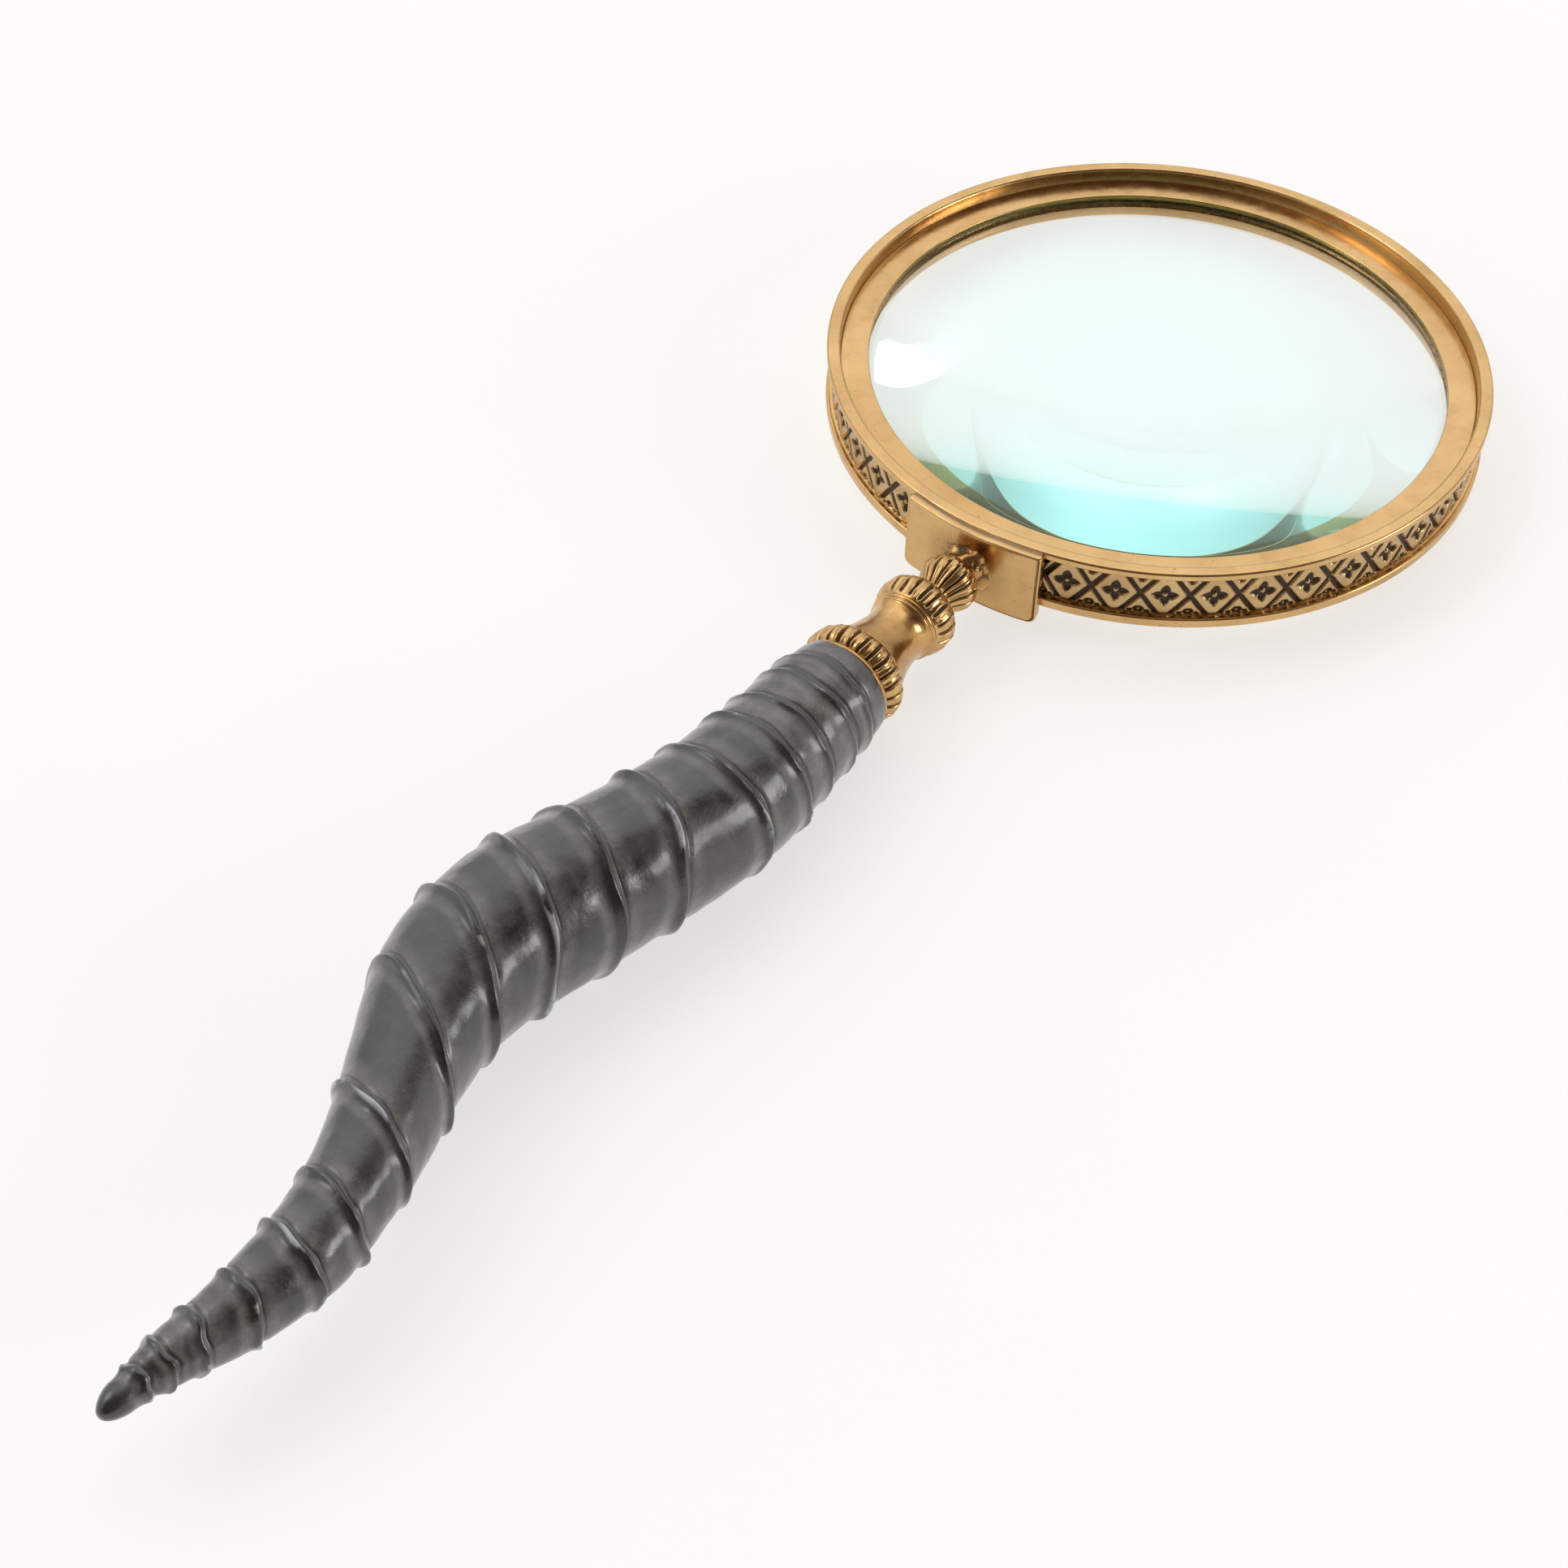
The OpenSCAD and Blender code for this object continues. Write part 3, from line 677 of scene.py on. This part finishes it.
# ------------------------------------------------------------------------------------------------- the handle
def ridge_relief(station, angle, size):
    """The handle's relief and its cavity values. Every ridge is steep on the ring's side, where a fine groove
    runs along its foot, and eases out on the tip's side; the surface behind it falls to the next groove."""
    side = np.cos(angle - math.radians(30))
    crests = np.array([middle - slant / 2 * side + 0.22 * np.sin(3 * angle + 2.3 * number)
                       + 0.12 * np.sin(7 * angle + 1.7 * number)
                       for number, (middle, slant, _) in enumerate(RIDGES)])
    fall = np.zeros(station.shape)
    relief = np.zeros(station.shape)
    groove = np.zeros(station.shape)
    flank = np.zeros(station.shape)
    crest_line = np.zeros(station.shape)
    scale = 0.55 + 0.45 * np.clip(size / 11, 0, 1)
    for number, (middle, slant, height) in enumerate(RIDGES):
        off = station - crests[number]
        gap = (crests[number + 1] if number + 1 < len(RIDGES) else HORN_TIP) - crests[number]
        within = (off >= 0) & (off < gap)
        drop = np.clip(off / gap, 0, 1)
        steep = 0.20 + 0.70 * (1 - smooth_step(middle, 104, 124))
        fall = np.where(within, (0.25 - 0.80 * drop ** 1.6) * scale * steep, fall)
        width = np.where(off < 0, 0.60, 0.82) * scale
        uneven = 1 + 0.25 * np.sin(5 * angle + 3.1 * number)
        rib = np.exp(-(off / width) ** 2) * uneven
        notch = np.exp(-((off + 1.2 * scale) / (0.40 * scale)) ** 2)
        hollow = np.exp(-((off - 2.5 * scale) / (1.0 * scale)) ** 2)
        relief += height * rib - 0.24 * scale * notch - 0.07 * hollow
        groove += notch
        flank += np.exp(-((off + 1.2) / 2.6) ** 2) + 0.7 * hollow
        crest_line += rib
    before = station < crests[0]
    fall = np.where(before, -0.35 * np.clip((station - HORN_START) / (crests[0] - HORN_START), 0, 1), fall)
    kernel = np.hanning(9)[1:-1]
    kernel /= kernel.sum()
    padded = np.pad(fall, ((3, 3), (0, 0)), mode="edge")
    fall = sum(k * padded[i:i + fall.shape[0]] for i, k in enumerate(kernel))
    return relief + fall, groove, flank, crest_line


def horn_handle():
    """The horn: swept along its S-bend, with slanting ridges."""
    rows, columns = 760, 96
    spine = catmull_rom(HORN, rows)
    angle = np.broadcast_to(np.arange(columns)[None, :] / columns * TAU, (rows, columns))
    station, bend, body_r = (np.broadcast_to(spine[:, k, None], (rows, columns)) for k in range(3))
    relief, groove, flank, crest_line = ridge_relief(station, angle, body_r)
    radius = body_r + relief * smooth_step(station, HORN_START, HORN_START + 2)
    past_cap = np.clip((station - CAP_START) / (HORN_TIP + 0.1 - CAP_START), 0, 1)
    radius = radius * np.sqrt(1 - past_cap ** 2)
    y = bend + radius * np.cos(angle)
    z = NECK_Z + radius * np.sin(angle)
    grid = np.stack([-station, y, z], -1)
    outward = np.stack([np.cos(angle), np.sin(angle)], -1)
    grid[..., 1:] += (wobble(grid, 8, 0.20, 10) + wobble(grid, 2.4, 0.07, 11))[..., None] * outward
    points = np.vstack([grid.reshape(-1, 3), [[-HORN_START, 0, NECK_Z]], [[-HORN_TIP, spine[-1, 1], NECK_Z]]])
    faces = grid_faces(rows, columns)
    first, tip, last = rows * columns, rows * columns + 1, (rows - 1) * columns
    for k in range(columns):
        after = (k + 1) % columns
        faces.append([first, after, k])
        faces.append([tip, last + k, last + after])
    # The material reads these values for dust, for pale wear on the crests, and for painted shade in the grooves.
    cavity = 0.9 * groove + 0.7 * flank - crest_line
    values = np.append(cavity.ravel(), [0, 0])
    make_piece("horn_handle_detail", points, faces, HORN_RESIN, "horn_handle", values)


def inner_pieces():
    """The rod and the insert keep their CAD shapes, which are hidden inside the neck and handle."""
    for node, material in (("tie_rod", STEEL), ("handle_insert", TURNED)):
        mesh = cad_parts[node].data
        mesh.materials.clear()
        mesh.materials.append(material)


# ------------------------------------------------------------------------------------- table, light and camera
def table():
    mesh = bpy.data.meshes.new("table_top")
    edit = bmesh.new()
    bmesh.ops.create_grid(edit, x_segments=8, y_segments=8, size=2.5)
    edit.to_mesh(mesh)
    edit.free()
    top = bpy.data.objects.new("table_top", mesh)
    bpy.context.scene.collection.objects.link(top)
    mesh.materials.append(table_white("table_white"))


def softbox(name, azimuth, elevation, distance, size, power, colour=(1, 1, 1)):
    """A square lamp that faces the object. azimuth is from +X towards +Y, in degrees."""
    a, e = math.radians(azimuth), math.radians(elevation)
    lamp = bpy.data.lights.new(name, "AREA")
    lamp.shape = "RECTANGLE"
    lamp.size, lamp.size_y = size
    lamp.energy = power
    lamp.color = colour
    holder = bpy.data.objects.new(name, lamp)
    bpy.context.scene.collection.objects.link(holder)
    towards = Vector((math.cos(a) * math.cos(e), math.sin(a) * math.cos(e), math.sin(e)))
    holder.location = towards * distance
    holder.rotation_euler = towards.to_track_quat("Z", "Y").to_euler()


def studio():
    """Soft light from a pale room, darker behind the camera, with two lamps and two glows."""
    world = bpy.data.worlds.new("studio")
    bpy.context.scene.world = world
    world.use_nodes = True
    tree = world.node_tree
    background = tree.nodes["Background"]
    coordinates = tree.nodes.new("ShaderNodeTexCoord")
    split = tree.nodes.new("ShaderNodeSeparateXYZ")
    ramp = tree.nodes.new("ShaderNodeValToRGB")
    tree.links.new(coordinates.outputs["Generated"], split.inputs[0])
    tree.links.new(split.outputs["Z"], ramp.inputs[0])
    stops = ramp.color_ramp.elements
    stops[0].position, stops[0].color = 0.0, (0.36, 0.35, 0.34, 1)
    stops[1].position, stops[1].color = 0.97, (1.0, 1.0, 1.0, 1)
    for position, grey in ((0.15, 0.46), (0.42, 0.66), (0.70, 0.80), (0.88, 0.98)):
        stop = stops.new(position)
        stop.color = (grey, grey, grey, 1)

    def towards(azimuth, elevation):
        """How nearly a ray points at this direction: 1 straight at it, 0 square to it."""
        a, e = math.radians(azimuth), math.radians(elevation)
        node = tree.nodes.new("ShaderNodeVectorMath")
        node.operation = "DOT_PRODUCT"
        node.inputs[1].default_value = (math.cos(a) * math.cos(e), math.sin(a) * math.cos(e), math.sin(e))
        tree.links.new(coordinates.outputs["Generated"], node.inputs[0])
        return node.outputs["Value"]

    def calculate(operation, a, b):
        node = tree.nodes.new("ShaderNodeMath")
        node.operation = operation
        for socket, value in zip(node.inputs, (a, b)):
            if isinstance(value, (int, float)):
                socket.default_value = value
            else:
                tree.links.new(value, socket)
        return node.outputs[0]

    light = 1.5
    colour = ramp.outputs[0]
    seen = tree.nodes.new("ShaderNodeLightPath").outputs["Is Camera Ray"]
    for azimuth, elevation, near, far, left_over in ((218, 42, 0.30, 0.88, 0.10), (-58, 40, 0.80, 0.97, 0.20)):
        shade = tree.nodes.new("ShaderNodeMapRange")
        shade.interpolation_type = "SMOOTHSTEP"
        for name, value in (("From Min", near), ("From Max", far), ("To Min", 1.0), ("To Max", left_over)):
            shade.inputs[name].default_value = value
        tree.links.new(towards(azimuth, elevation), shade.inputs["Value"])
        light = calculate("MULTIPLY", shade.outputs["Result"], light)
        warm = tree.nodes.new("ShaderNodeMix")
        warm.data_type = "RGBA"
        warm.inputs[6].default_value = (0.86, 0.66, 0.52, 1)
        tree.links.new(calculate("MAXIMUM", shade.outputs["Result"], seen), warm.inputs[0])
        tree.links.new(colour, warm.inputs[7])
        colour = warm.outputs[2]
    for azimuth, elevation, tightness, strength in ((43, 34, 160, 0.7), (15, 28, 60, 0.25)):
        glow = calculate("POWER", calculate("MAXIMUM", towards(azimuth, elevation), 0.0), tightness)
        light = calculate("ADD", light, calculate("MULTIPLY", glow, strength))
    tree.links.new(colour, background.inputs[0])
    wall = tree.nodes.new("ShaderNodeMix")  # seen directly, the room is a plain pale wall
    wall.inputs[3].default_value = 0.9
    tree.links.new(seen, wall.inputs[0])
    tree.links.new(light, wall.inputs[2])
    tree.links.new(wall.outputs[0], background.inputs["Strength"])
    softbox("window_right", -66, 20, 1.5, (0.60, 0.42), 5.2)
    softbox("softbox_left", 120, 50, 1.5, (0.5, 0.5), 2.0)
    bpy.context.scene.view_settings.view_transform = "Standard"
    bounces = bpy.context.scene.cycles  # the light that runs inside the lens takes many bounces
    bounces.max_bounces, bounces.glossy_bounces, bounces.transmission_bounces = 24, 16, 16


def camera():
    """The camera's place and directions are set in the level frame."""
    turn = LEVEL.to_3x3().normalized()
    right, up, back = Vector((0.590684, -0.806651, 0.020156)), Vector((0.576423, 0.439312, 0.689014)), \
        Vector((-0.56465, -0.39537, 0.72447))
    data = bpy.data.cameras.new("camera")
    data.sensor_width = 36
    data.lens = 65.2
    data.clip_start = 0.01
    holder = bpy.data.objects.new("camera", data)
    bpy.context.scene.collection.objects.link(holder)
    holder.location = LEVEL @ Vector((-343.71, -167.44, 301.65))
    holder.rotation_mode = "QUATERNION"
    holder.rotation_quaternion = (turn @ Matrix((right, up, back)).transposed()).to_quaternion()
    bpy.context.scene.camera = holder


camera()
table()
studio()
bezel()
retaining_ring()
gallery_strip()
lens()
saddle_plate()
neck_foot()
small_bead()
large_bead()
neck_barrel()
ribbed_collar()
end_flange()
horn_handle()
inner_pieces()
